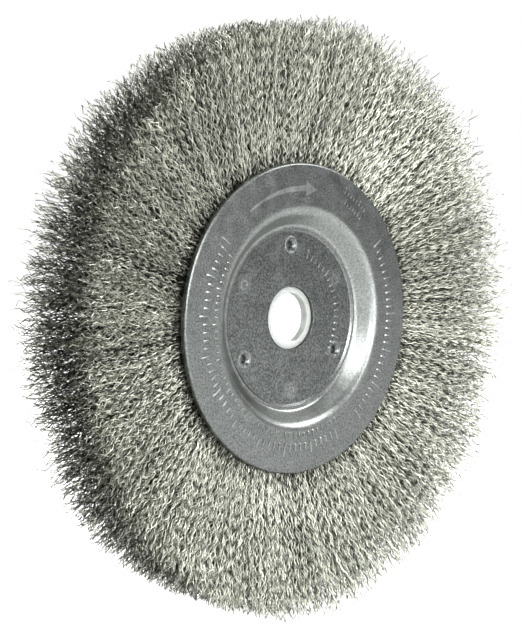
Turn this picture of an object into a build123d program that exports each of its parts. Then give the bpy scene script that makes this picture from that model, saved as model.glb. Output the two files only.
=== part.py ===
from build123d import *
from math import cos, radians, sin
import os

# Crimped-wire wheel brush with stamped face plates and a reducer bush.
# Frame: the origin is on the wheel's axis, halfway between the two faces.
# +Y runs along the bore towards the rear face, the front face looks along -Y, +Z is up.
# Every profile is drawn as (radius, distance from the mid-plane) and turned about Y.

# Arbor hole and the bush that narrows it
PLATE_HOLE_D = 16.10  # for a 5/8 in arbor
BUSH_D = 15.96
BUSH_BORE_D = 12.75  # for a 1/2 in arbor
BUSH_RECESS = 0.60  # the bush sits this far below the front hub face
BUSH_CHAMFER = 0.30

# Stamped face plates
PLATE_D = 78.0
PLATE_THICKNESS = 1.5
RING_HEIGHT = 5.5  # mid-plane to the outer face of the flat ring
HUB_R = 21.9  # flat hub disc, where the grinder's flange clamps
STEP_R = 22.4  # pressed step around the hub disc
STEP_END_R = 23.4
STEP_HEIGHT = 0.45
WALL_END_R = 27.0  # top of the dished wall
INNER_WALL_START_R = 24.0
INNER_WALL_END_R = 27.6
WALL_FOOT_FILLET = 1.8
WALL_TOP_FILLET = 3.6
INNER_FOOT_FILLET = 3.0
INNER_TOP_FILLET = 2.4
PLATE_EDGE_FILLET = 0.6

# Clinched stakes that hold the two hub discs together
STAKE_CIRCLE_R = 18.5
STAKE_HOLE_R = 0.9
STAKE_MOUTH_R = 1.5
STAKE_MOUTH_DEPTH = 0.6
STAKE_COLLAR_R = 1.4
STAKE_COLLAR_LENGTH = 0.7
STAKE_POCKET_GAP = 0.04
FRONT_STAKE_ANGLES = (90, 210, 330)
REAR_STAKE_ANGLES = (30, 150, 270)

# Core ring that the wires are folded over
CORE_R = 27.5
CORE_WIRE_R = 1.4
CORE_GAP = 0.05
FOLD_R = 2.5  # outside of the folded wires around the core ring

# Wire fill
BUNDLE_COUNT = 24
NECK_START_R = 29.6  # where the bundle fills the gap between the plates
NECK_END_R = 39.4
FLARE_END_R = 66.0
FACE_HALF_WIDTH = 10.5
TIP_R = 76.2  # a nominal 6 in wheel
TIP_FILLET = 2.0

HUB_HEIGHT = PLATE_THICKNESS
RING_INNER_HEIGHT = RING_HEIGHT - PLATE_THICKNESS
STAKE_REACH = 1.0  # cutters run this far past a face


def at_angle(radius, height, angle):
    """The point at a radius and an angle from +X towards +Z, at a height along Y."""
    return (radius * cos(radians(angle)), height, radius * sin(radians(angle)))


def fillet_corner(face, radius_at, height_at, fillet_radius):
    """Rounds the profile corner nearest to the given point."""
    corner = face.vertices().sort_by_distance((radius_at, height_at, 0))[0]
    return fillet(corner, fillet_radius)


def stake_cylinder(radius, low, high, angle):
    """A cylinder along Y on the stake circle."""
    middle = at_angle(STAKE_CIRCLE_R, (low + high) / 2, angle)
    return Pos(*middle) * Rot(90, 0, 0) * Cylinder(radius, high - low)


def stake_mouth(face_height, angle):
    """The countersink at a stake's mouth, widest at the rear hub face."""
    depth = STAKE_MOUTH_DEPTH
    spread = STAKE_MOUTH_R - STAKE_HOLE_R
    wide = STAKE_MOUTH_R + spread * STAKE_REACH / depth
    length = depth + STAKE_REACH
    middle = at_angle(STAKE_CIRCLE_R, face_height - depth + length / 2, angle)
    return Pos(*middle) * Rot(-90, 0, 0) * Cone(STAKE_HOLE_R, wide, length)


def plate_profile():
    """Half-section of the rear plate: hub disc, pressed step, wall and flat ring."""
    outline = Polyline(
        (PLATE_HOLE_D / 2, 0),
        (INNER_WALL_START_R, 0),
        (INNER_WALL_END_R, RING_INNER_HEIGHT),
        (PLATE_D / 2, RING_INNER_HEIGHT),
        (PLATE_D / 2, RING_HEIGHT),
        (WALL_END_R, RING_HEIGHT),
        (STEP_END_R, HUB_HEIGHT + STEP_HEIGHT),
        (STEP_R, HUB_HEIGHT + STEP_HEIGHT),
        (HUB_R, HUB_HEIGHT),
        (PLATE_HOLE_D / 2, HUB_HEIGHT),
        close=True,
    )
    face = make_face(outline)
    face = fillet_corner(face, INNER_WALL_START_R, 0, INNER_FOOT_FILLET)
    face = fillet_corner(face, INNER_WALL_END_R, RING_INNER_HEIGHT, INNER_TOP_FILLET)
    face = fillet_corner(face, WALL_END_R, RING_HEIGHT, WALL_TOP_FILLET)
    face = fillet_corner(face, STEP_END_R, HUB_HEIGHT + STEP_HEIGHT, WALL_FOOT_FILLET)
    return fillet_corner(face, PLATE_D / 2, RING_HEIGHT, PLATE_EDGE_FILLET)


def face_plate(own_stakes, other_stakes):
    """A rear-facing plate, with its own pierced stakes and pockets for the other plate's."""
    plate = revolve(plate_profile(), Axis.Y)
    for angle in own_stakes:
        plate += stake_cylinder(STAKE_COLLAR_R, -STAKE_COLLAR_LENGTH, HUB_HEIGHT / 2, angle)
        hole_low = -STAKE_COLLAR_LENGTH - STAKE_REACH
        plate -= stake_cylinder(STAKE_HOLE_R, hole_low, HUB_HEIGHT + STAKE_REACH, angle)
        plate -= stake_mouth(HUB_HEIGHT, angle)
    for angle in other_stakes:
        pocket_r = STAKE_COLLAR_R + STAKE_POCKET_GAP
        plate -= stake_cylinder(pocket_r, -STAKE_REACH, STAKE_COLLAR_LENGTH + STAKE_POCKET_GAP, angle)
    return plate


def rear_face_plate():
    """The plate on the +Y side."""
    return face_plate(REAR_STAKE_ANGLES, FRONT_STAKE_ANGLES)


def front_face_plate():
    """The same stamping on the -Y side, with the stakes on the front angles."""
    return mirror(face_plate(FRONT_STAKE_ANGLES, REAR_STAKE_ANGLES), about=Plane.XZ)


def core_ring():
    """Round steel ring inside the dished walls."""
    return Rot(90, 0, 0) * Torus(CORE_R, CORE_WIRE_R)


def arbor_bush():
    """Plastic ring that narrows the arbor hole, flush at the rear and recessed in front."""
    front = -(HUB_HEIGHT - BUSH_RECESS)
    wall = (BUSH_D - BUSH_BORE_D) / 2
    section = Pos((BUSH_D + BUSH_BORE_D) / 4, (front + HUB_HEIGHT) / 2) * Rectangle(wall, HUB_HEIGHT - front)
    outer_corners = section.vertices().group_by(Axis.X)[-1]
    return revolve(chamfer(outer_corners, BUSH_CHAMFER), Axis.Y)


def bundle_profile():
    """Full section of the fill: folded over the core ring, clamped, then flared to the face."""
    with BuildSketch() as sketch:
        with BuildLine():
            upper = Polyline(
                (CORE_R, FOLD_R),
                (NECK_START_R, RING_INNER_HEIGHT),
                (NECK_END_R, RING_INNER_HEIGHT),
                (FLARE_END_R, FACE_HALF_WIDTH),
                (TIP_R, FACE_HALF_WIDTH),
                (TIP_R, 0),
            )
            mirror(upper, about=Plane.XZ)
            ThreePointArc((CORE_R, FOLD_R), (CORE_R - FOLD_R, 0), (CORE_R, -FOLD_R))
        make_face()
        tip_corners = sketch.vertices().group_by(Axis.X)[-1].group_by(Axis.Y)
        fillet(tip_corners[0] + tip_corners[-1], TIP_FILLET)
        with Locations((CORE_R, 0)):
            Circle(CORE_WIRE_R + CORE_GAP, mode=Mode.SUBTRACT)
    return sketch.sketch


def wire_bundle(index):
    """One wedge of the fill, from its start angle round by an equal share of the circle."""
    share = 360 / BUNDLE_COUNT
    return Rot(0, -index * share, 0) * revolve(bundle_profile(), Axis.Y, revolution_arc=-share)


def write(name, shape):
    """Saves one sub-part under its node's name."""
    export_step(shape, f"parts/{name}.step")


os.makedirs("parts", exist_ok=True)
write("front_face_plate", front_face_plate())
write("rear_face_plate", rear_face_plate())
write("core_ring", core_ring())
write("arbor_bush", arbor_bush())
for number in range(BUNDLE_COUNT):
    write(f"wire_bundle_{number + 1:02d}", wire_bundle(number))
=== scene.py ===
# %% [markdown]
# A crimped wire wheel brush: two stamped steel plates hold thousands of fine wavy wires, and a
# plastic bush narrows the hole for the grinder's arbor. The imported model gives the frame, so the
# script starts by loading it and keeping its box.

# %% Load the frame
import math

import bmesh
import bpy
from mathutils import Matrix, Vector


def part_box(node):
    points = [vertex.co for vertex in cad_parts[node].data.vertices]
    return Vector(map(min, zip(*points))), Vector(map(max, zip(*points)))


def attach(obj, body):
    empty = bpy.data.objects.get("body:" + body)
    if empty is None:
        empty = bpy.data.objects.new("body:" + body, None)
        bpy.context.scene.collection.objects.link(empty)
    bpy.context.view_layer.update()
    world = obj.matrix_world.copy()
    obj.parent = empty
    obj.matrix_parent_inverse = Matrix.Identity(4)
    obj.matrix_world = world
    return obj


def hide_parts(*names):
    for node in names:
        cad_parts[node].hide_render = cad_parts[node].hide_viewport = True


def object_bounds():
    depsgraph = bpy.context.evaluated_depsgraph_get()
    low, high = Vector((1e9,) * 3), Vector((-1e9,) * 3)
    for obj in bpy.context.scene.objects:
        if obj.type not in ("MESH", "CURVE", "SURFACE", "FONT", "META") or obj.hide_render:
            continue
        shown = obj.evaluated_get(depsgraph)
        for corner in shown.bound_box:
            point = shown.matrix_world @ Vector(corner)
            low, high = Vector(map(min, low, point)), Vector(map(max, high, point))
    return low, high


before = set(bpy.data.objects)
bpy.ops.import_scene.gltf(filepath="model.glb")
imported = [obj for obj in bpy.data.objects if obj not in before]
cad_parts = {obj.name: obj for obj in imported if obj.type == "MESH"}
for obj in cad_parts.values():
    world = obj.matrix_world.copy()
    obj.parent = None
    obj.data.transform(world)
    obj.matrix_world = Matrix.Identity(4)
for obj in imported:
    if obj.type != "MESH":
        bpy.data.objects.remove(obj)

MM = 0.001
cad_low, cad_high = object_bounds()

# %% [markdown]
# A size that the model already holds is read from it and never typed again. The wheel lies in the
# XZ plane and its axis is Y, so a box's X side gives a radius and its Y side a height.

# %% Sizes from the model
plate_low, plate_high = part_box("front_face_plate")
bush_low, bush_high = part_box("arbor_bush")
core_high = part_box("core_ring")[1]

PLATE_R = plate_high.x
RING_FACE = -plate_low.y
TIP_R = cad_high.x
FACE_HALF = cad_high.y
BUSH_R = bush_high.x
CORE_WIRE_R = core_high.y
CORE_R = core_high.x - CORE_WIRE_R
print(f"plate radius {PLATE_R / MM:.1f} mm, bush radius {BUSH_R / MM:.2f} mm")
print(f"wire tips {TIP_R / MM:.1f} mm from the axis, half the face width {FACE_HALF / MM:.1f} mm")

# %% [markdown]
# A box can't show what lies inside a part's outline: how thick the sheet is, where the pressed step
# and the dished wall begin, and where the plates are staked together. Those sizes are given once.

# %% Sizes inside the stamping
PLATE_THICKNESS = 1.5 * MM
HUB_FACE = PLATE_THICKNESS
RING_BACK = RING_FACE - PLATE_THICKNESS
HOLE_R = BUSH_R + 0.07 * MM
HUB_R = 21.9 * MM  # flat hub disc
STEP_R = 22.4 * MM  # pressed step around the disc
STEP_END_R = 23.4 * MM
STEP_HEIGHT = 0.45 * MM
WALL_END_R = 27.0 * MM  # top of the dished wall
INNER_WALL_START_R = 24.0 * MM
INNER_WALL_END_R = 27.6 * MM
STAKE_CIRCLE_R = 18.5 * MM
FRONT_STAKES = (90, 210, 330)
REAR_STAKES = (30, 150, 270)


def on_circle(radius, degrees, height=0.0):
    """A point at a radius and height, its angle counted from +X towards +Z."""
    angle = math.radians(degrees)
    return Vector((radius * math.cos(angle), height, radius * math.sin(angle)))


print(f"the ring stands {(RING_FACE - HUB_FACE) / MM:.1f} mm proud of the hub disc")

# %% [markdown]
# The camera comes before the pieces, so that each of them can be judged as it is made. It stands a
# little over two wheel widths away, slightly above the axis, and sees the front face from its left.
# A long lens keeps the wheel's ellipse natural.

# %% Camera
VIEW_AZIMUTH = math.radians(-43.8)
VIEW_ELEVATION = math.radians(5.0)
VIEW_DISTANCE = 356.8 * MM
AIM_LEFT = 10.4 * MM
AIM_UP = 0.9 * MM
LENS_LENGTH = 81.3  # in mm, for a picture 36 mm high on the sensor


def direction(azimuth, elevation):
    """Unit vector towards a viewer: azimuth 0 is in front of the wheel, 90 to its right."""
    level = math.cos(elevation)
    return Vector((math.sin(azimuth) * level, -math.cos(azimuth) * level, math.sin(elevation)))


def place(data, name, spot, target):
    """Puts a camera or a lamp at a spot, looking at a target."""
    made = bpy.data.objects.new(name, data)
    bpy.context.scene.collection.objects.link(made)
    made.location = spot
    made.rotation_euler = (target - spot).to_track_quat("-Z", "Y").to_euler()
    return made


towards_viewer = direction(VIEW_AZIMUTH, VIEW_ELEVATION)
screen_right = Vector((math.cos(VIEW_AZIMUTH), math.sin(VIEW_AZIMUTH), 0))
aim = Vector((0, -RING_FACE, 0)) - AIM_LEFT * screen_right + Vector((0, 0, AIM_UP))
lens = bpy.data.cameras.new("camera")
lens.sensor_width = 36
lens.lens = LENS_LENGTH
camera = place(lens, "camera", aim + VIEW_DISTANCE * towards_viewer, aim)
bpy.context.scene.camera = camera
print("camera at", [round(c / MM) for c in camera.location], "mm")

# %% [markdown]
# Materials and Geometry Nodes are both trees of nodes. This helper makes a node, sets it up and
# feeds its inputs with numbers or with other nodes' outputs, so that a tree reads like a formula.


# %% A helper for node trees
class Tree:
    """Builds a node tree: an input takes a number, a colour or another node's output."""

    def __init__(self, tree):
        self.tree = tree

    def node(self, kind, inputs=None, **settings):
        made = self.tree.nodes.new(kind)
        for name, value in settings.items():
            setattr(made, name, value)
        for key, value in (inputs or {}).items():
            if isinstance(value, bpy.types.NodeSocket):
                self.tree.links.new(value, made.inputs[key])
            else:
                made.inputs[key].default_value = value
        return made

    def math(self, operation, *values, clamp=False):
        made = self.node("ShaderNodeMath", dict(enumerate(values)), operation=operation, use_clamp=clamp)
        return made.outputs[0]

    def add(self, *values):
        total = values[0]
        for value in values[1:]:
            total = self.math("ADD", total, value)
        return total

    def minus(self, value, taken):
        return self.math("SUBTRACT", value, taken)

    def times(self, *values):
        product = values[0]
        for value in values[1:]:
            product = self.math("MULTIPLY", product, value)
        return product

    def ramp(self, value, low, high, to_low=0.0, to_high=1.0, smooth=False):
        """Maps a value from one range to another and holds it there."""
        style = "SMOOTHSTEP" if smooth else "LINEAR"
        sockets = {"Value": value, "From Min": low, "From Max": high, "To Min": to_low, "To Max": to_high}
        return self.node("ShaderNodeMapRange", sockets, interpolation_type=style).outputs["Result"]

    def vector(self, x, y, z):
        return self.node("ShaderNodeCombineXYZ", {"X": x, "Y": y, "Z": z}).outputs[0]

    def axes(self, vector):
        """The X, Y and Z of a vector or a colour."""
        return self.node("ShaderNodeSeparateXYZ", {0: vector}).outputs

    def noise(self, place, scale, detail=2.0, output="Fac"):
        sockets = {"Vector": place, "Scale": scale, "Detail": detail}
        return self.node("ShaderNodeTexNoise", sockets).outputs[output]

    def colour_mix(self, share, first, second, clamp=True):
        sockets = {0: share, 6: first, 7: second}
        return self.node("ShaderNodeMix", sockets, data_type="RGBA", clamp_factor=clamp).outputs[2]


print("helper ready")

# %% [markdown]
# Every finish starts from Blender's Principled shader, which one pair of helpers sets up. A pattern
# is linked to a socket, and a value that is the same all over is set on the socket itself.


# %% A helper for materials
def new_material(name):
    """A material with an empty tree: returns it, its Tree and its Principled shader."""
    material = bpy.data.materials.new(name)
    material.use_nodes = True
    material.node_tree.nodes.clear()
    tree = Tree(material.node_tree)
    shader = tree.node("ShaderNodeBsdfPrincipled")
    tree.node("ShaderNodeOutputMaterial", {"Surface": shader.outputs[0]})
    return material, tree, shader


def feed(tree, shader, **sockets):
    """Links a shader's inputs, named with underscores for spaces."""
    for name, source in sockets.items():
        tree.tree.links.new(source, shader.inputs[name.replace("_", " ")])


print("material helpers ready")

# %% [markdown]
# The wire is drawn stainless steel with a faint straw tint. Its shade comes from an attribute that
# the wire's maker stores: near 0 for painted shade and near 1 for painted highlights, with a random
# tone for each wire mixed in. A broad noise adds the patches where wires lie alike. A brighter
# stretch of wire is also a smoother one.

# %% Wire steel
WIRE_SHADE = "wire_shade"
# The dark colour is reached through painted shade and the bright one through painted highlights.
WIRE_DARK_TONE_AND_SHADE = (0.06, 0.063, 0.047, 1)
WIRE_LIGHT_TONE_AND_HIGHLIGHT = (0.92, 0.94, 0.82, 1)


def wire_steel():
    material, tree, shader = new_material("wire_steel")
    place_on = tree.node("ShaderNodeTexCoord").outputs["Object"]
    shade = tree.node("ShaderNodeAttribute", attribute_name=WIRE_SHADE).outputs["Fac"]
    patches = tree.noise(place_on, 90.0)
    tone = tree.math("ADD", shade, tree.times(tree.minus(patches, 0.5), 0.4), clamp=True)
    # the stored value paints shade and highlights into the wire's colour
    colour = tree.colour_mix(tone, WIRE_DARK_TONE_AND_SHADE, WIRE_LIGHT_TONE_AND_HIGHLIGHT)
    feed(tree, shader, Base_Color=colour, Roughness=tree.ramp(shade, 0, 1, 0.45, 0.28))
    shader.inputs["Metallic"].default_value = 1.0
    return material


WIRE_STEEL = wire_steel()
print("wire steel has", len(WIRE_STEEL.node_tree.nodes), "nodes")

# %% [markdown]
# The plates are pressed from dull grey sheet. Close up it is mottled in fine grains, with faint
# clouds, a few long rubbing marks, and light halos where the stakes were punched. The dished wall is
# painted lighter, a painted sheen, and the stamped marks stand proud and are drawn lighter. All of
# these are added up as one tone, which picks a grey between a dark and a light steel.

# %% Plate steel
DARK_STEEL = (0.07, 0.076, 0.074, 1)
LIGHT_STEEL = (0.265, 0.28, 0.27, 1)
BRIGHTEST_TONE = 1.4  # the raised marks may pass the light steel
HALO_CORE = 1.0 * MM
HALO_EDGE = 3.2 * MM


def stake_halos(tree, flat_place):
    """Light rings around the six stakes, 1 at a stake's middle."""
    halos = 0.0
    for degrees in FRONT_STAKES + REAR_STAKES:
        sockets = {0: flat_place, 1: on_circle(STAKE_CIRCLE_R, degrees)}
        distance = tree.node("ShaderNodeVectorMath", sockets, operation="DISTANCE").outputs["Value"]
        halos = tree.add(halos, tree.ramp(distance, HALO_CORE, HALO_EDGE, 1.0, 0.0, smooth=True))
    return halos


def proud_of(tree, outward, face):
    """1 where the surface stands above a plate's face, as stamped marks do."""
    return tree.ramp(outward, face + 0.02 * MM, face + 0.09 * MM)


def plate_steel():
    material, tree, shader = new_material("plate_steel")
    place_on = tree.node("ShaderNodeTexCoord").outputs["Object"]
    axes = tree.axes(place_on)
    outward = tree.math("ABSOLUTE", axes[1])
    flat_place = tree.vector(axes[0], 0.0, axes[2])
    from_axis = tree.node("ShaderNodeVectorMath", {0: flat_place}, operation="LENGTH").outputs["Value"]

    # patterns, from fine grain to broad clouds; the rubs are noise stretched along X
    grain = tree.noise(place_on, 2200.0)
    blotches = tree.noise(place_on, 330.0, detail=3.0)
    clouds = tree.noise(place_on, 45.0)
    rubs = tree.noise(tree.vector(tree.times(axes[0], 0.06), axes[1], axes[2]), 1100.0, detail=1.0)
    rubs = tree.times(tree.ramp(rubs, 0.66, 0.74), tree.ramp(clouds, 0.5, 0.6))
    mottle = tree.add(tree.times(grain, 1.3), tree.times(blotches, 0.2), tree.times(clouds, 0.08))

    # regions of the stamping
    on_hub = tree.ramp(from_axis, HUB_R, HUB_R + 0.3 * MM, 1.0, 0.0)
    on_wall = tree.times(
        tree.ramp(from_axis, STEP_R - 0.1 * MM, STEP_END_R),
        tree.ramp(from_axis, WALL_END_R, WALL_END_R + 2.0 * MM, 1.0, 0.0),
    )

    tone = tree.add(
        tree.ramp(mottle, 0.47, 1.12),
        # painted sheen: the dished wall is drawn lighter
        tree.times(on_wall, 0.55),
        tree.times(on_hub, -0.2),
        tree.times(rubs, 0.35),
        tree.times(stake_halos(tree, flat_place), tree.times(on_hub, 0.3)),
        tree.times(proud_of(tree, outward, RING_FACE), 0.8),
        tree.times(proud_of(tree, outward, HUB_FACE), tree.times(on_hub, 0.8)),
    )
    tone = tree.math("MINIMUM", tree.math("MAXIMUM", tone, 0.0), BRIGHTEST_TONE)
    colour = tree.colour_mix(tone, DARK_STEEL, LIGHT_STEEL, clamp=False)
    bump = tree.node("ShaderNodeBump", {"Strength": 0.35, "Distance": 0.02 * MM, "Height": grain})
    gloss = tree.ramp(blotches, 0.3, 0.7, 0.3, 0.37)
    feed(tree, shader, Base_Color=colour, Roughness=gloss, Normal=bump.outputs[0])
    shader.inputs["Metallic"].default_value = 1.0
    return material


PLATE_STEEL = plate_steel()
print("plate steel has", len(PLATE_STEEL.node_tree.nodes), "nodes")

# %% [markdown]
# The bush is unfilled moulded plastic: milky, with a soft gloss. Light soaks through its thin wall,
# so the bore isn't dark inside. Subsurface scattering that is longer than the wall is thick does that.

# %% Bush plastic
MILKY = (0.35, 0.37, 0.355, 1)
MILKIER = (0.41, 0.43, 0.41, 1)


def bush_plastic():
    material, tree, shader = new_material("bush_plastic")
    place_on = tree.node("ShaderNodeTexCoord").outputs["Object"]
    haze = tree.noise(place_on, 400.0)
    colour = tree.colour_mix(haze, MILKY, MILKIER)
    feed(tree, shader, Base_Color=colour, Roughness=tree.ramp(haze, 0.3, 0.7, 0.3, 0.45))
    shader.inputs["Subsurface Weight"].default_value = 0.9
    shader.inputs["Subsurface Radius"].default_value = (1.0, 1.0, 1.0)
    shader.inputs["Subsurface Scale"].default_value = 4.0 * MM
    return material


BUSH_PLASTIC = bush_plastic()
print("bush plastic has", len(BUSH_PLASTIC.node_tree.nodes), "nodes")

# %% [markdown]
# Plates, bush and core ring are turned shapes: a section swept once round the axis. The section is
# a closed loop of (radius, height) points. One helper rounds its corners, and beside a long flat it
# adds a guard point, because shading that is smoothed across a bend would otherwise dull the flat.

# %% Rounding a section
LONG_FLAT = 1.8 * MM
GUARD = 0.25 * MM


def rounded(corners):
    """Points of a closed section. A corner is (radius, height) or (radius, height, round, steps)."""
    points = []
    for index, corner in enumerate(corners):
        here = Vector(corner[:2])
        if len(corner) == 2:
            points.append(here)
            continue
        size, steps = corner[2:]
        last = Vector(corners[index - 1][:2])
        following = Vector(corners[(index + 1) % len(corners)][:2])
        before = (last - here).normalized()
        after = (following - here).normalized()
        half_turn = before.angle(after) / 2
        start = here + before * (size / math.tan(half_turn))
        end = here + after * (size / math.tan(half_turn))
        centre = here + (before + after).normalized() * (size / math.sin(half_turn))
        if (last - start).length > LONG_FLAT:
            points.append(start + before * GUARD)
        for step in range(steps + 1):
            spoke = start.lerp(end, step / steps) - centre
            points.append(centre + spoke.normalized() * size)
        if (following - end).length > LONG_FLAT:
            points.append(end + after * GUARD)
    return points


print("a square with one round corner has", len(rounded([(0, 0, 0.2, 4), (1, 0), (1, 1), (0, 1)])), "points")

# %% [markdown]
# Turning copies the section round a Y line and joins each copy to the next with a ring of faces. A
# finished bmesh becomes a piece with its doubles merged, its faces outwards and its edges crisp only
# where they are sharp.

# %% Turning a section round the axis
TURN_STEPS = 192
SAME_POINT = 0.0005 * MM


def turned(mesh, section, steps=TURN_STEPS, centre=(0, 0, 0)):
    """Adds a closed section, turned about a Y line through centre, to a bmesh."""
    rings = []
    for step in range(steps):
        turn = Matrix.Rotation(2 * math.pi * step / steps, 4, "Y")
        rings.append([mesh.verts.new(turn @ Vector((p[0], p[1], 0)) + Vector(centre)) for p in section])
    for ring, following in zip(rings, rings[1:] + rings[:1]):
        for low in range(len(section)):
            high = (low + 1) % len(section)
            mesh.faces.new((ring[low], ring[high], following[high], following[low]))


def piece(name, mesh, material, sharp_above=35):
    """Turns a bmesh into a named piece with outward faces and crisp edges only where it is sharp."""
    bmesh.ops.remove_doubles(mesh, verts=mesh.verts, dist=SAME_POINT)
    bmesh.ops.recalc_face_normals(mesh, faces=mesh.faces)
    data = bpy.data.meshes.new(name)
    mesh.to_mesh(data)
    mesh.free()
    data.polygons.foreach_set("use_smooth", [True] * len(data.polygons))
    data.set_sharp_from_angle(angle=math.radians(sharp_above))
    data.materials.append(material)
    made = bpy.data.objects.new(name, data)
    bpy.context.scene.collection.objects.link(made)
    return made


def turned_piece(name, section, material):
    """A piece that is one turned section."""
    mesh = bmesh.new()
    turned(mesh, section)
    return piece(name, mesh, material)


print("one turn has", TURN_STEPS, "steps")

# %% [markdown]
# A face plate is a flat hub disc, a small pressed step, a dished wall and a flat ring. The wall has
# generous round bends, which is where a stamping catches the light.


# %% Plate section
def plate_section():
    """The rear plate's section, seen with heights rising away from the mid-plane."""
    step = HUB_FACE + STEP_HEIGHT
    return rounded(
        [
            (HOLE_R, 0),
            (INNER_WALL_START_R, 0, 3.0 * MM, 8),
            (INNER_WALL_END_R, RING_BACK, 2.4 * MM, 8),
            (PLATE_R, RING_BACK, 0.2 * MM, 2),
            (PLATE_R, RING_FACE, 0.6 * MM, 6),
            (WALL_END_R, RING_FACE, 3.6 * MM, 12),
            (STEP_END_R, step, 1.4 * MM, 8),
            (STEP_R, step, 0.15 * MM, 3),
            (HUB_R, HUB_FACE, 0.15 * MM, 3),
            (HOLE_R, HUB_FACE, 0.1 * MM, 2),
        ]
    )


print("plate section has", len(plate_section()), "points")

# %% [markdown]
# Six stakes clinch the hub discs together. Each is a hole with a coned mouth, cut with a Boolean
# modifier, and a low lip of metal that the punch raised around it. The other plate's three stakes
# show only as faint round swellings.

# %% Stakes
STAKE_HOLE_R = 0.9 * MM
MOUTH_R = 1.7 * MM
PUNCH_LOW = -2.0 * MM  # the punch runs past both faces of the disc
PUNCH_HIGH = 4.0 * MM
SUNK = 0.1 * MM  # a lip's foot lies this deep in the plate


def stake_cutter(stakes):
    """The tapered punches that cut one plate's stakes, as one object."""
    punch = [
        (0, PUNCH_LOW),
        (STAKE_HOLE_R, PUNCH_LOW),
        (STAKE_HOLE_R, 0.9 * MM),
        (1.25 * MM, 1.3 * MM),
        (MOUTH_R, 1.6 * MM),
        (MOUTH_R, PUNCH_HIGH),
        (0, PUNCH_HIGH),
    ]
    mesh = bmesh.new()
    for degrees in stakes:
        turned(mesh, punch, steps=32, centre=on_circle(STAKE_CIRCLE_R, degrees))
    return piece("stake_cutter", mesh, PLATE_STEEL)


def add_lips(mesh, stakes, radius, width, height):
    """Low round swellings on the hub face, each a closed ring or dome sunk in the plate."""
    for degrees in stakes:
        ridge = [
            (radius + width * (share - 0.5), HUB_FACE - SUNK + (height + SUNK) * math.sin(math.pi * share))
            for share in (0, 0.15, 0.3, 0.5, 0.7, 0.85, 1)
        ]
        turned(mesh, ridge, steps=40, centre=on_circle(STAKE_CIRCLE_R, degrees))


def face_plate(own_stakes, other_stakes):
    """A rear-facing plate as a bmesh: stakes cut, lips raised, and the other plate's swellings."""
    plate = turned_piece("plate_blank", plate_section(), PLATE_STEEL)
    cutter = stake_cutter(own_stakes)
    cut = plate.modifiers.new("stakes", "BOOLEAN")
    cut.operation = "DIFFERENCE"
    cut.object = cutter
    cut.solver = "EXACT"
    evaluated = plate.evaluated_get(bpy.context.evaluated_depsgraph_get())
    finished = bmesh.new()
    finished.from_mesh(bpy.data.meshes.new_from_object(evaluated))
    bpy.data.objects.remove(plate)
    bpy.data.objects.remove(cutter)
    add_lips(finished, own_stakes, radius=2.0 * MM, width=0.8 * MM, height=0.06 * MM)
    add_lips(finished, other_stakes, radius=1.0 * MM, width=1.6 * MM, height=0.04 * MM)
    return finished


rear_mesh = face_plate(REAR_STAKES, FRONT_STAKES)
front_mesh = face_plate(FRONT_STAKES, REAR_STAKES)
bmesh.ops.scale(front_mesh, vec=(1, -1, 1), verts=front_mesh.verts)
print("a staked plate has", len(rear_mesh.faces), "faces")

# %% [markdown]
# Anything that repeats is grown by a Geometry Nodes tree. These helpers start a tree with named
# inputs, end it with real geometry and a material, and run it on an empty mesh. The inputs are set
# by their identifiers, and the result is kept as a plain mesh with no modifier.


# %% Growing a mesh with Geometry Nodes
def new_group(name, inputs):
    """An empty Geometry Nodes group with named inputs: returns it, its Tree and its input sockets."""
    group = bpy.data.node_groups.new(name, "GeometryNodeTree")
    for label, kind in inputs:
        group.interface.new_socket(label, in_out="INPUT", socket_type=f"NodeSocket{kind}")
    group.interface.new_socket("Geometry", in_out="OUTPUT", socket_type="NodeSocketGeometry")
    tree = Tree(group)
    return group, tree, tree.node("NodeGroupInput").outputs


def finish_group(tree, geometry, material):
    """Ends a group: real geometry with its material."""
    real = tree.node("GeometryNodeRealizeInstances", {"Geometry": geometry}).outputs[0]
    painted = tree.node("GeometryNodeSetMaterial", {"Geometry": real, "Material": material}).outputs[0]
    tree.node("NodeGroupOutput", {"Geometry": painted})


def grown(name, group, settings):
    """Runs a Geometry Nodes tree on an empty mesh and returns its result as a plain piece."""
    host = bpy.data.objects.new(name + "_host", bpy.data.meshes.new(name + "_host"))
    bpy.context.scene.collection.objects.link(host)
    modifier = host.modifiers.new("grow", "NODES")
    modifier.node_group = group
    for item in group.interface.items_tree:
        if item.in_out == "INPUT":
            modifier[item.identifier] = settings[item.name]
    evaluated = host.evaluated_get(bpy.context.evaluated_depsgraph_get())
    data = bpy.data.meshes.new_from_object(evaluated)
    data.name = name
    bpy.data.objects.remove(host)
    made = bpy.data.objects.new(name, data)
    bpy.context.scene.collection.objects.link(made)
    return made


print("growing helpers ready")

# %% [markdown]
# The front plate is stamped with rows of marks. Here they are plain ruled ticks in place of words:
# short raised bars with sloping sides, every fifth one longer. One tree stamps a row along an arc.
# Its sizes are inputs, so every row comes from the same tree. A bar is a four-sided cone with its
# tip cut off. Its wide foot is sunk in the plate, and its top stands proud.

# %% Geometry Nodes tree for a row of stamped ticks
TICK_INPUTS = (
    ("Count", "Int"),
    ("Arc Radius", "Float"),
    ("Start Angle", "Float"),
    ("Step Angle", "Float"),
    ("Height", "Float"),
    ("Tick Length", "Float"),
    ("Tick Width", "Float"),
    ("Proud", "Float"),
    ("Material", "Material"),
)
SHORT_SHARE = 0.62  # length of a short tick, as a share of a long one


def unit_bar(tree):
    """A sloping bar one unit long, high and wide, lying along X."""
    sockets = {"Vertices": 4, "Radius Top": 0.42, "Radius Bottom": 0.75, "Depth": 1.0}
    bar = tree.node("GeometryNodeMeshCone", sockets).outputs["Mesh"]
    for turn in ((0, 0, math.pi / 4), (math.pi / 2, 0, 0)):
        bar = tree.node("GeometryNodeTransform", {"Geometry": bar, "Rotation": turn}).outputs[0]
    return bar


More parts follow.
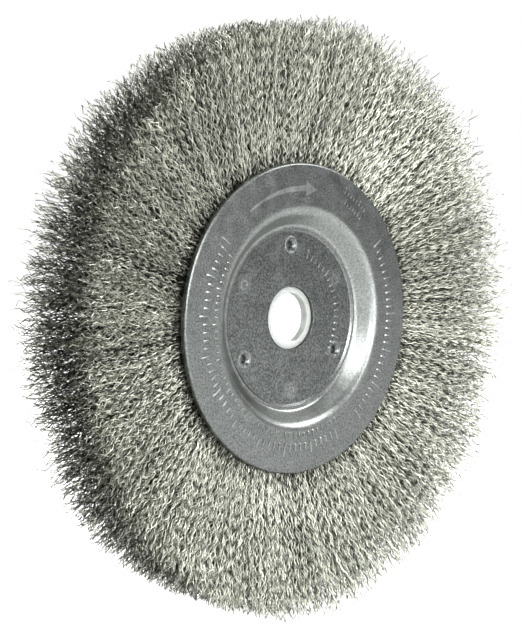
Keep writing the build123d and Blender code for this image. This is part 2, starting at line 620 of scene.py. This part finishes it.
def stamped_tick_tree():
    group, tree, given = new_group("stamped_ticks", TICK_INPUTS)
    points = tree.node("GeometryNodePoints", {"Count": given["Count"]}).outputs[0]
    index = tree.node("GeometryNodeInputIndex").outputs[0]
    angle = tree.add(given["Start Angle"], tree.times(given["Step Angle"], index))
    fifth = tree.math("COMPARE", tree.math("MODULO", index, 5.0), 0.0, 0.1)
    length = tree.times(given["Tick Length"], tree.add(SHORT_SHARE, tree.times(fifth, 1 - SHORT_SHARE)))
    middle = tree.add(given["Arc Radius"], tree.times(length, 0.5))
    spot = tree.vector(
        tree.times(middle, tree.math("COSINE", angle)),
        given["Height"],
        tree.times(middle, tree.math("SINE", angle)),
    )
    placed = tree.node("GeometryNodeSetPosition", {"Geometry": points, "Position": spot}).outputs[0]
    sockets = {
        "Points": placed,
        "Instance": unit_bar(tree),
        "Rotation": tree.vector(0.0, tree.times(angle, -1.0), 0.0),
        "Scale": tree.vector(length, tree.times(given["Proud"], 2.0), given["Tick Width"]),
    }
    bars = tree.node("GeometryNodeInstanceOnPoints", sockets).outputs[0]
    finish_group(tree, bars, given["Material"])
    return group


TICK_TREE = stamped_tick_tree()
print("tick tree has", len(TICK_TREE.nodes), "nodes")

# %% [markdown]
# Three rows run round the ring on its right and left, two short ones sit near its top, and one row
# follows the right side of the hub disc. Each row is grown, copied into the plate's mesh and removed.

# %% Stamp the ticks
MARK_HEIGHT = 0.1 * MM
TICK_ROWS = (
    # count, arc radius, first and last degrees, face height, tick length, tick width
    (26, 31.8 * MM, 33, -52, RING_FACE, 3.4 * MM, 0.5 * MM),
    (8, 34.8 * MM, 64, 50, RING_FACE, 1.6 * MM, 0.4 * MM),
    (7, 32.2 * MM, 62, 50, RING_FACE, 1.6 * MM, 0.4 * MM),
    (46, 31.4 * MM, -68, -218, RING_FACE, 3.0 * MM, 0.5 * MM),
    (46, 28.6 * MM, -66, -214, RING_FACE, 1.7 * MM, 0.4 * MM),
    (19, 15.8 * MM, 70, -38, HUB_FACE, 2.4 * MM, 0.45 * MM),
)

for count, radius, first, last, face, length, width in TICK_ROWS:
    settings = {
        "Count": count,
        "Arc Radius": radius,
        "Start Angle": math.radians(first),
        "Step Angle": math.radians((last - first) / (count - 1)),
        "Height": -face,
        "Tick Length": length,
        "Tick Width": width,
        "Proud": MARK_HEIGHT,
        "Material": PLATE_STEEL,
    }
    row = grown("tick_row", TICK_TREE, settings)
    front_mesh.from_mesh(row.data)
    bpy.data.objects.remove(row)
print(sum(row[0] for row in TICK_ROWS), "ticks stamped")

# %% [markdown]
# A wheel brush shows which way round it turns. The mark is one curved arrow with a tapering tail,
# drawn as a closed outline and given its height by joining a low copy to a high one.

# %% Turning arrow
ARROW_R = 32.6 * MM
ARROW_WIDTH = 1.5 * MM
ARROW_TAIL = 124  # degrees
ARROW_NECK = 88
ARROW_STEPS = 24


def arrow_outline():
    """The arrow's outline on the mid-plane, as a closed loop of points."""
    inner = []
    outer = []
    for step in range(ARROW_STEPS + 1):
        share = step / ARROW_STEPS
        degrees = ARROW_TAIL + (ARROW_NECK - ARROW_TAIL) * share
        half = ARROW_WIDTH * (0.15 + 0.35 * share)
        inner.append(on_circle(ARROW_R - half, degrees))
        outer.append(on_circle(ARROW_R + half, degrees))
    barb = 1.3 * ARROW_WIDTH
    point_at = ARROW_NECK - math.degrees(2.6 * ARROW_WIDTH / ARROW_R)
    head = [
        on_circle(ARROW_R + barb, ARROW_NECK),
        on_circle(ARROW_R, point_at),
        on_circle(ARROW_R - barb, ARROW_NECK),
    ]
    return outer + head + inner[::-1]


outline = arrow_outline()
low = [front_mesh.verts.new((p.x, -RING_FACE + MARK_HEIGHT, p.z)) for p in outline]
high = [front_mesh.verts.new((p.x, -RING_FACE - MARK_HEIGHT, p.z)) for p in outline]
front_mesh.faces.new(low)
front_mesh.faces.new(high)
for index in range(len(outline)):
    after = (index + 1) % len(outline)
    front_mesh.faces.new((low[index], low[after], high[after], high[index]))
print("arrow outline has", len(outline), "points")

# %% [markdown]
# Both plates are now ready to become pieces. Three calls fit each piece into the shared frame: the
# body it moves with, the CAD node it stands for, and the finish it takes.

# %% Both plates
front_plate = piece("front_plate", front_mesh, PLATE_STEEL, sharp_above=28)
rear_plate = piece("rear_plate", rear_mesh, PLATE_STEEL, sharp_above=28)
for plate, node in ((front_plate, "front_face_plate"), (rear_plate, "rear_face_plate")):
    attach(plate, "wheel")
    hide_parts(node)
    print(plate.name, len(plate.data.polygons), "faces")

# %% [markdown]
# The core ring is a round wire bent into a hoop inside the dished walls, where the fill is folded
# over it. The wires hide it, so a plain turned circle is enough.

# %% Core ring
CORE_SIDES = 20
core_section = [
    (CORE_R + CORE_WIRE_R * math.cos(turn), CORE_WIRE_R * math.sin(turn))
    for turn in (2 * math.pi * step / CORE_SIDES for step in range(CORE_SIDES))
]
ring = turned_piece("wire_core_ring", core_section, WIRE_STEEL)
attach(ring, "wheel")
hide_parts("core_ring")
print(f"core ring {2 * CORE_R / MM:.0f} mm across, of {2 * CORE_WIRE_R / MM:.1f} mm wire")

# %% [markdown]
# The bush is one turned section with round edges. The edge at the front outer side is the roundest,
# so a thin dark line parts the plastic from the plate. It has a body of its own, because it is
# pressed out to fit a thicker arbor.

# %% Reducer bush
BUSH_BORE_R = 6.375 * MM
EDGE_ROUND = 0.25 * MM
bush_section = rounded(
    [
        (BUSH_BORE_R, bush_low.y, EDGE_ROUND, 4),
        (BUSH_R, bush_low.y, 0.4 * MM, 4),
        (BUSH_R, bush_high.y, EDGE_ROUND, 4),
        (BUSH_BORE_R, bush_high.y, EDGE_ROUND, 4),
    ]
)
bush = turned_piece("reducer_bush", bush_section, BUSH_PLASTIC)
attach(bush, "bush")
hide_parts("arbor_bush")
print("bush has", len(bush.data.polygons), "faces")

# %% [markdown]
# The fill is what makes the wheel: about thirteen thousand wires, pressed into waves before they
# were cut. Hair curves could draw them, but they would be gone from an exported model. So one
# Geometry Nodes tree grows a bundle of real wires. It copies a straight line, and one Set Position
# node bends every copy: out along the radius, across as the fill flares, and from side to side for
# the crimp.
#
# Even waves alone look like a comb. On the real wheel neighbours lean together in tufts, and each
# wire weaves over and under the others, so it shows only in short dashes. Noise at three scales does
# both. The random numbers depend only on a wire's index and the seed.
#
# The tree also stores each point's shade, which paints light into the wire's colour. Crests that
# stand out of the face get a painted highlight and those turned inwards painted shade, wires deep in
# the fill get painted shade, and wires close to the plates a painted shadow. Each wire also gets a
# random tone.

# %% Geometry Nodes tree for a bundle of crimped wires
WIRE_INPUTS = (
    ("Wires", "Int"),
    ("Seed", "Int"),
    ("Start Angle", "Float"),
    ("Share Angle", "Float"),
    ("Bends", "Int"),
    ("Bend Length", "Float"),
    ("Bend Depth", "Float"),
    ("Wire Radius", "Float"),
    ("Tip Radius", "Float"),
    ("Tip Spread", "Float"),
    ("Neck Half", "Float"),
    ("Neck End", "Float"),
    ("Flare End", "Float"),
    ("Face Half", "Float"),
    ("Splay", "Float"),
    ("Stray", "Float"),
    ("Weave", "Float"),
    ("Front Lean", "Float"),
    ("Material", "Material"),
)
WEAVE_SCALE = 150.0
TUFT_SCALE = 190.0
DRIFT_SCALE = 70.0
TUFT_SWAY = 0.9 * MM
DRIFT_SWAY = 1.6 * MM
PLATE_SHADOW_REACH = 4.5 * MM  # how far out from the plates the painted shadow on the wires reaches


def crimped_wire_tree():
    group, tree, given = new_group("crimped_wires", WIRE_INPUTS)
    line = tree.node("GeometryNodeCurvePrimitiveLine").outputs[0]
    points = tree.add(given["Bends"], 1)
    line = tree.node("GeometryNodeResampleCurve", {"Curve": line, "Count": points}).outputs[0]
    copies = tree.node("GeometryNodeDuplicateElements", {0: line, "Amount": given["Wires"]}, domain="SPLINE")
    wire = copies.outputs["Duplicate Index"]
    along = tree.node("GeometryNodeSplineParameter").outputs
    bend = tree.math("MODULO", along["Index"], points)

    def chance(number, low=0.0, high=1.0):
        """A random number for each wire."""
        seed = tree.add(tree.times(given["Seed"], 40), number)
        return tree.node("FunctionNodeRandomValue", {2: low, 3: high, 7: wire, 8: seed}).outputs[1]

    def growing(power):
        """Nothing at the plates and 1 at the tips."""
        return tree.math("POWER", along["Factor"], power)

    def swaying(place, scale):
        """Three smooth random numbers around 0, as X, Y and Z."""
        three = tree.axes(tree.noise(place, scale, output="Color"))
        return [tree.minus(value, 0.5) for value in (three[0], three[1], three[2])]

    # where the wire stands: its angle in the wedge, and its place across the width, from -1 to 1
    angle = tree.add(given["Start Angle"], tree.times(given["Share Angle"], chance(1)))
    even = chance(2, -1.0, 1.0)
    crowded = tree.math("POWER", tree.math("ABSOLUTE", even), 0.65)
    across = tree.times(tree.math("SIGN", even), crowded)

    # its length is counted back from the tip in straight bits between bends
    bit = tree.times(given["Bend Length"], chance(3, 0.95, 1.07))
    short = tree.times(tree.math("POWER", chance(4), 1.5), given["Tip Spread"])
    tip = tree.minus(given["Tip Radius"], short)
    radius = tree.minus(tip, tree.times(tree.minus(given["Bends"], bend), bit))

    # the fill flares from the plates to the face, and its skin splays a little further
    half = tree.ramp(radius, given["Neck End"], given["Flare End"], given["Neck Half"], given["Face Half"])
    skin = tree.times(tree.math("POWER", across, 5.0), tree.math("POWER", chance(5), 2.0))
    flare = tree.add(tree.times(across, half), tree.times(skin, given["Splay"], growing(2.0)))

    # each wire weaves over and under its neighbours, along a noise line of its own
    own_line = tree.vector(radius, tree.times(wire, 0.37), tree.times(given["Seed"], 0.71))
    weave = swaying(own_line, WEAVE_SCALE)
    over = tree.times(weave[0], given["Weave"], growing(0.4))
    aside = tree.times(weave[1], given["Weave"], growing(0.4))
    flare = tree.add(flare, over, tree.times(growing(2.0), given["Front Lean"], -1.0))

    # neighbours lean the same way, which makes tufts that change along the radius too
    def at_wire(x, y, z):
        """Turns a place beside the X axis round to the wire's own angle."""
        sockets = {"Vector": tree.vector(x, y, z), "Angle": tree.times(angle, -1.0)}
        return tree.node("ShaderNodeVectorRotate", sockets, rotation_type="Y_AXIS").outputs[0]

    straight = at_wire(radius, flare, 0.0)
    tuft = swaying(straight, TUFT_SCALE)
    drift = swaying(straight, DRIFT_SCALE)

    def lean(number, tufted, drifted):
        """Sideways place of a wire: shared tufts and drifts, its own tilt and its own loose tip."""
        return tree.add(
            tree.times(tufted, TUFT_SWAY, growing(0.8)),
            tree.times(drifted, DRIFT_SWAY, growing(0.8)),
            tree.times(chance(number, -1.0, 1.0), given["Stray"], growing(1.2)),
            tree.times(chance(number + 1, -1.0, 1.0), given["Stray"], growing(5.0)),
        )

    # the crimp flips from side to side at every bend, in a plane of the wire's own
    side = tree.minus(tree.times(tree.math("MODULO", bend, 2.0), 2.0), 1.0)
    wave = tree.times(side, given["Bend Depth"], chance(6, 0.7, 1.3))
    plane = chance(7, 0.0, math.tau)
    rise = tree.math("SINE", plane)
    height = tree.add(flare, tree.times(wave, rise), lean(10, tuft[0], drift[0]))
    sideways = tree.add(tree.times(wave, tree.math("COSINE", plane)), aside, lean(20, tuft[1], drift[1]))
    outwards = tree.add(radius, tree.times(drift[2], given["Tip Spread"], growing(3.0)))
    spot = at_wire(outwards, height, sideways)
    bent = tree.node("GeometryNodeSetPosition", {"Geometry": copies.outputs["Geometry"], "Position": spot})

    # painted highlight on crests that stand out of the face, painted shade on those turned in and deep in
    # the fill, painted shadow near the plates
    painted_crest_light = tree.times(side, tree.math("SIGN", tree.times(rise, even)))
    depth = tree.math("DIVIDE", tree.math("ABSOLUTE", flare), half)
    below_tips = tree.minus(1.0, tree.times(growing(4.0), 0.8))
    # painted shade: wires that lie deep in the fill are drawn darker, less so towards the tips
    painted_depth_shade = tree.times(tree.ramp(depth, 0.6, 1.0, -0.6, 0.05), below_tips)
    # painted shadow: wires close to the plates are drawn darker
    painted_plate_shadow = tree.ramp(radius, given["Neck End"], tree.add(given["Neck End"], PLATE_SHADOW_REACH), -0.45, 0.0)
    shade = tree.add(tree.times(painted_crest_light, 0.55), tree.times(chance(8), 0.65), painted_depth_shade, painted_plate_shadow, 0.23)
    sockets = {"Geometry": bent.outputs[0], "Name": WIRE_SHADE, "Value": shade}
    shaded = tree.node("GeometryNodeStoreNamedAttribute", sockets, data_type="FLOAT", domain="POINT")

    # three sides are enough for a wire, if each one is rolled its own way
    sockets = {"Curve": shaded.outputs[0], "Tilt": chance(9, 0.0, math.tau)}
    rolled = tree.node("GeometryNodeSetCurveTilt", sockets).outputs[0]
    sockets = {"Resolution": 3, "Radius": given["Wire Radius"]}
    triangle = tree.node("GeometryNodeCurvePrimitiveCircle", sockets).outputs["Curve"]
    sockets = {"Curve": rolled, "Profile Curve": triangle, "Fill Caps": True}
    solid = tree.node("GeometryNodeCurveToMesh", sockets).outputs[0]
    finish_group(tree, solid, given["Material"])
    return group


WIRE_TREE = crimped_wire_tree()
print("wire tree has", len(WIRE_TREE.nodes), "nodes")

# %% [markdown]
# The frame divides the fill into equal wedges, one node each, so one bundle is grown for each wedge.
# Bundles share every size and differ only in their seed and start angle. A wire has 24 bends and
# three sides, which keeps a bundle under 80,000 triangles and the whole wheel under 2 million.

# %% Grow the bundles
bundle_nodes = sorted(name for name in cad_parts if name.startswith("wire_bundle_"))
SHARE = math.tau / len(bundle_nodes)
BUNDLE_SIZES = {
    "Wires": 540,
    "Share Angle": SHARE,
    "Bends": 24,
    "Bend Length": 1.58 * MM,
    "Bend Depth": 0.42 * MM,
    "Wire Radius": 0.11 * MM,
    "Tip Radius": TIP_R - 2.2 * MM,
    "Tip Spread": 4.0 * MM,
    "Neck Half": RING_BACK - 0.3 * MM,
    "Neck End": PLATE_R + 0.4 * MM,
    "Flare End": 76.0 * MM,
    "Face Half": FACE_HALF + 2.8 * MM,
    "Splay": 4.0 * MM,
    "Stray": 1.8 * MM,
    "Weave": 6.0 * MM,
    "Front Lean": 1.1 * MM,
    "Material": WIRE_STEEL,
}

for number, node in enumerate(bundle_nodes):
    settings = {**BUNDLE_SIZES, "Seed": number + 1, "Start Angle": number * SHARE}
    bundle = grown(node.replace("wire_bundle", "crimped_wires"), WIRE_TREE, settings)
    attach(bundle, "wheel")
    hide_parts(node)
print(len(bundle_nodes), "bundles,", len(bundle.data.polygons), "faces each")

# %% [markdown]
# The wheel stands over a plain pale floor. Steel mirrors all that is around it, so a floor and a sky
# that really glowed white would wash it out. They glow for the camera alone, and every other ray
# meets a matt floor and a dim sky.

# %% Floor and sky
FLOOR_R = 6.0
FLOOR_GAP = 2 * MM
SKY_GLOW = 0.1


def is_camera_ray(tree):
    """1 for what the camera sees directly and 0 for every other ray."""
    return tree.node("ShaderNodeLightPath").outputs["Is Camera Ray"]


floor_paint, tree, shader = new_material("floor_paint")
shader.inputs["Base Color"].default_value = (0.9, 0.9, 0.9, 1)
shader.inputs["Roughness"].default_value = 0.9
shader.inputs["Emission Color"].default_value = (1, 1, 1, 1)
feed(tree, shader, Emission_Strength=is_camera_ray(tree))
mesh = bmesh.new()
bmesh.ops.create_circle(mesh, cap_ends=True, radius=FLOOR_R, segments=64)
bmesh.ops.translate(mesh, vec=(0, 0, cad_low.z - FLOOR_GAP), verts=mesh.verts)
floor = piece("floor", mesh, floor_paint)

sky = bpy.data.worlds.new("studio")
bpy.context.scene.world = sky
sky.use_nodes = True
sky.node_tree.nodes.clear()
tree = Tree(sky.node_tree)
strength = tree.ramp(is_camera_ray(tree), 0.0, 1.0, SKY_GLOW, 1.0)
glow = tree.node("ShaderNodeBackground", {"Color": (1, 1, 1, 1), "Strength": strength}).outputs[0]
tree.node("ShaderNodeOutputWorld", {"Surface": glow})
print(f"floor {FLOOR_GAP / MM:.0f} mm below the CAD model")

# %% [markdown]
# Seven soft square lamps stand around the wheel, all equally far from it. Those in front shape the
# plate and the face, the high one lights the upper wires, and the two behind keep the rim and the
# back readable.

# %% Lamps
LAMP_DISTANCE = 0.9
LAMP_SIZE = 0.35
LAMPS = (
    # name, azimuth and elevation in degrees, power in watts
    ("front", -20, 15, 5.8),
    ("top", 0, 80, 3.9),
    ("right", 50, 30, 4.8),
    ("back_right", 130, 25, 2.8),
    ("camera_side", -37, 40, 2.8),
    ("front_low", 14, -2, 3.8),
    ("back_left", 220, 20, 2.2),
)

for name, azimuth, elevation, power in LAMPS:
    lamp = bpy.data.lights.new(name, "AREA")
    lamp.size = LAMP_SIZE
    lamp.energy = power
    spot = direction(math.radians(azimuth), math.radians(elevation)) * LAMP_DISTANCE
    place(lamp, name, spot, Vector((0, 0, 0)))
bpy.context.scene.view_settings.view_transform = "Standard"
print(len(LAMPS), "lamps,", round(sum(lamp[3] for lamp in LAMPS), 1), "W in all")
